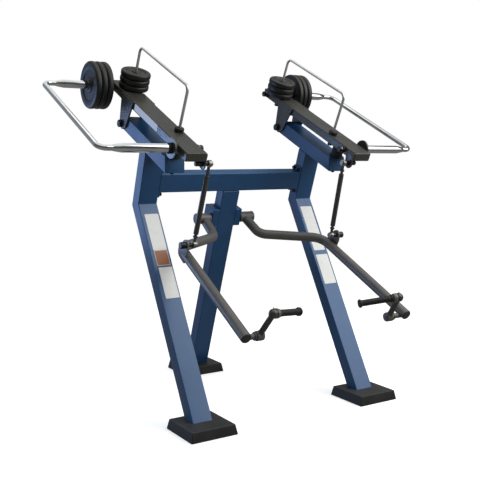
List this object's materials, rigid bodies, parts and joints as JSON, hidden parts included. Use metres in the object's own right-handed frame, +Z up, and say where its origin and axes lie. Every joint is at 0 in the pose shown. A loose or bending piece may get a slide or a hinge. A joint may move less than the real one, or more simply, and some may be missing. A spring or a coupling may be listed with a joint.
{
  "type": "outdoor biceps machine",
  "caption": "Outdoor lever-weight biceps curl machine: tube frame on pyramid feet, weight levers with plates on chrome rails, push rods and swivel handles.",
  "frame": {"origin": "centre of the bounding box's base, on the ground, midway between the two stations", "axes": "+X to the machine's right seen from the user's side, +Y to its back where the rear leg stands, +Z up"},
  "size_m": [2.141, 1.666, 2.0756],
  "materials": {
    "frame_blue_paint": "metallic blue powder coat",
    "lever_grey_paint": "metallic graphite powder coat",
    "arm_grey_paint": "metallic graphite powder coat",
    "rail_chrome": "polished stainless steel or chrome",
    "axle_steel": "zinc plated",
    "weight_rubber": "moulded rubber over a heavy core",
    "black_rubber": "matte rubber",
    "black_cap_plastic": "satin black plastic cap",
    "black_foot_cover": "matte black moulding"
  },
  "bodies": {
    "frame": {"base_plate_left": "frame_blue_paint", "base_plate_right": "frame_blue_paint", "base_plate_rear": "frame_blue_paint", "foot_cover_left": "black_foot_cover", "foot_cover_right": "black_foot_cover", "foot_cover_rear": "black_foot_cover", "crossbeam": "frame_blue_paint", "rear_leg": "frame_blue_paint", "bearing_housing": "frame_blue_paint", "arm_axle": "axle_steel", "front_leg_left": "frame_blue_paint", "base_beam_left": "frame_blue_paint", "pivot_pin_left": "black_cap_plastic", "lever_stop_left": "black_rubber", "front_leg_right": "frame_blue_paint", "base_beam_right": "frame_blue_paint", "pivot_pin_right": "black_cap_plastic", "lever_stop_right": "black_rubber"},
    "lever_left": {"lever_tube_left": "lever_grey_paint", "lever_bracket_left": "lever_grey_paint", "big_rail_left": "rail_chrome", "small_rail_left": "rail_chrome", "stop_ring_left": "black_rubber", "rail_collar_left": "black_rubber", "rail_nut_upper_left": "black_cap_plastic", "rail_nut_lower_left": "black_cap_plastic", "rod_bracket_left": "arm_grey_paint"},
    "big_weight_left_1": {"big_plate_left_1": "weight_rubber"},
    "small_weight_left_1": {"small_plate_left_1": "weight_rubber"},
    "big_weight_left_2": {"big_plate_left_2": "weight_rubber"},
    "small_weight_left_2": {"small_plate_left_2": "weight_rubber"},
    "big_weight_left_3": {"big_plate_left_3": "weight_rubber"},
    "small_weight_left_3": {"small_plate_left_3": "weight_rubber"},
    "push_rod_left": {"push_rod_left": "arm_grey_paint"},
    "arm_left": {"arm_tube_left": "arm_grey_paint", "arm_hub_left": "arm_grey_paint", "lug_bolt_left": "black_cap_plastic"},
    "handle_left": {"handle_link_left": "arm_grey_paint"},
    "grip_left": {"grip_left": "black_rubber"},
    "lever_right": {"lever_tube_right": "lever_grey_paint", "lever_bracket_right": "lever_grey_paint", "big_rail_right": "rail_chrome", "small_rail_right": "rail_chrome", "stop_ring_right": "black_rubber", "rail_collar_right": "black_rubber", "rail_nut_upper_right": "black_cap_plastic", "rail_nut_lower_right": "black_cap_plastic", "rod_bracket_right": "arm_grey_paint"},
    "big_weight_right_1": {"big_plate_right_1": "weight_rubber"},
    "small_weight_right_1": {"small_plate_right_1": "weight_rubber"},
    "big_weight_right_2": {"big_plate_right_2": "weight_rubber"},
    "small_weight_right_2": {"small_plate_right_2": "weight_rubber"},
    "big_weight_right_3": {"big_plate_right_3": "weight_rubber"},
    "small_weight_right_3": {"small_plate_right_3": "weight_rubber"},
    "push_rod_right": {"push_rod_right": "arm_grey_paint"},
    "arm_right": {"arm_tube_right": "arm_grey_paint", "arm_hub_right": "arm_grey_paint", "lug_bolt_right": "black_cap_plastic"},
    "handle_right": {"handle_link_right": "arm_grey_paint"},
    "grip_right": {"grip_right": "black_rubber"}
  },
  "joints": [
    {"name": "lever_left_pivot", "type": "hinge", "parent": "frame", "child": "lever_left", "pos_m": [-0.563, 0.4517, 1.636], "axis": [-1, 0, 0], "range_deg": [0, 15]},
    {"name": "push_rod_left_pin", "type": "hinge", "parent": "lever_left", "child": "push_rod_left", "pos_m": [-0.458, -0.2723, 1.41], "axis": [-1, 0, 0], "range_deg": [-20, 0]},
    {"name": "arm_left_pivot", "type": "hinge", "parent": "frame", "child": "arm_left", "pos_m": [-0.155, 0.3217, 1.063], "axis": [-1, 0, 0], "range_deg": [0, 25]},
    {"name": "handle_left_swing", "type": "hinge", "parent": "arm_left", "child": "handle_left", "pos_m": [-0.432, -0.7133, 0.57], "axis": [-1, 0, 0], "range_deg": [-140, 60]},
    {"name": "grip_left_spin", "type": "hinge", "parent": "handle_left", "child": "grip_left", "pos_m": [-0.3049, -0.7685, 0.6821], "axis": [0.9346, 0.337, -0.1138], "continuous": true},
    {"name": "big_weight_left_3_slide", "type": "slide", "parent": "lever_left", "child": "big_weight_left_3", "axis": [-1, 0, 0], "range_m": [0, 0.15]},
    {"name": "big_weight_left_2_slide", "type": "slide", "parent": "lever_left", "child": "big_weight_left_2", "axis": [-1, 0, 0], "range_m": [0, 0.1]},
    {"name": "big_weight_left_1_slide", "type": "slide", "parent": "lever_left", "child": "big_weight_left_1", "axis": [-1, 0, 0], "range_m": [0, 0.05]},
    {"name": "small_weight_left_3_slide", "type": "slide", "parent": "lever_left", "child": "small_weight_left_3", "axis": [0, -0.421, 0.907], "range_m": [0, 0.105]},
    {"name": "small_weight_left_2_slide", "type": "slide", "parent": "lever_left", "child": "small_weight_left_2", "axis": [0, -0.421, 0.907], "range_m": [0, 0.07]},
    {"name": "small_weight_left_1_slide", "type": "slide", "parent": "lever_left", "child": "small_weight_left_1", "axis": [0, -0.421, 0.907], "range_m": [0, 0.035]},
    {"name": "lever_right_pivot", "type": "hinge", "parent": "frame", "child": "lever_right", "pos_m": [0.563, 0.4517, 1.636], "axis": [-1, 0, 0], "range_deg": [0, 15]},
    {"name": "push_rod_right_pin", "type": "hinge", "parent": "lever_right", "child": "push_rod_right", "pos_m": [0.458, -0.2723, 1.41], "axis": [-1, 0, 0], "range_deg": [-20, 0]},
    {"name": "arm_right_pivot", "type": "hinge", "parent": "frame", "child": "arm_right", "pos_m": [0.155, 0.3217, 1.063], "axis": [-1, 0, 0], "range_deg": [0, 25]},
    {"name": "handle_right_swing", "type": "hinge", "parent": "arm_right", "child": "handle_right", "pos_m": [0.432, -0.7133, 0.57], "axis": [-1, 0, 0], "range_deg": [-140, 60]},
    {"name": "grip_right_spin", "type": "hinge", "parent": "handle_right", "child": "grip_right", "pos_m": [0.3049, -0.7685, 0.6821], "axis": [-0.9346, 0.337, -0.1138], "continuous": true},
    {"name": "big_weight_right_3_slide", "type": "slide", "parent": "lever_right", "child": "big_weight_right_3", "axis": [1, 0, 0], "range_m": [0, 0.15]},
    {"name": "big_weight_right_2_slide", "type": "slide", "parent": "lever_right", "child": "big_weight_right_2", "axis": [1, 0, 0], "range_m": [0, 0.1]},
    {"name": "big_weight_right_1_slide", "type": "slide", "parent": "lever_right", "child": "big_weight_right_1", "axis": [1, 0, 0], "range_m": [0, 0.05]},
    {"name": "small_weight_right_3_slide", "type": "slide", "parent": "lever_right", "child": "small_weight_right_3", "axis": [0, -0.421, 0.907], "range_m": [0, 0.105]},
    {"name": "small_weight_right_2_slide", "type": "slide", "parent": "lever_right", "child": "small_weight_right_2", "axis": [0, -0.421, 0.907], "range_m": [0, 0.07]},
    {"name": "small_weight_right_1_slide", "type": "slide", "parent": "lever_right", "child": "small_weight_right_1", "axis": [0, -0.421, 0.907], "range_m": [0, 0.035]}
  ],
  "couplings": [
    {"joint": "arm_left_pivot", "follows": "lever_left_pivot", "ratio": 1.6665},
    {"joint": "push_rod_left_pin", "follows": "lever_left_pivot", "ratio": -1.2969},
    {"joint": "big_weight_left_2_slide", "follows": "big_weight_left_3_slide", "ratio": 0.6666},
    {"joint": "big_weight_left_1_slide", "follows": "big_weight_left_3_slide", "ratio": 0.3333},
    {"joint": "small_weight_left_2_slide", "follows": "small_weight_left_3_slide", "ratio": 0.6666},
    {"joint": "small_weight_left_1_slide", "follows": "small_weight_left_3_slide", "ratio": 0.3333},
    {"joint": "arm_right_pivot", "follows": "lever_right_pivot", "ratio": 1.6665},
    {"joint": "push_rod_right_pin", "follows": "lever_right_pivot", "ratio": -1.2969},
    {"joint": "big_weight_right_2_slide", "follows": "big_weight_right_3_slide", "ratio": 0.6666},
    {"joint": "big_weight_right_1_slide", "follows": "big_weight_right_3_slide", "ratio": 0.3333},
    {"joint": "small_weight_right_2_slide", "follows": "small_weight_right_3_slide", "ratio": 0.6666},
    {"joint": "small_weight_right_1_slide", "follows": "small_weight_right_3_slide", "ratio": 0.3333}
  ]
}
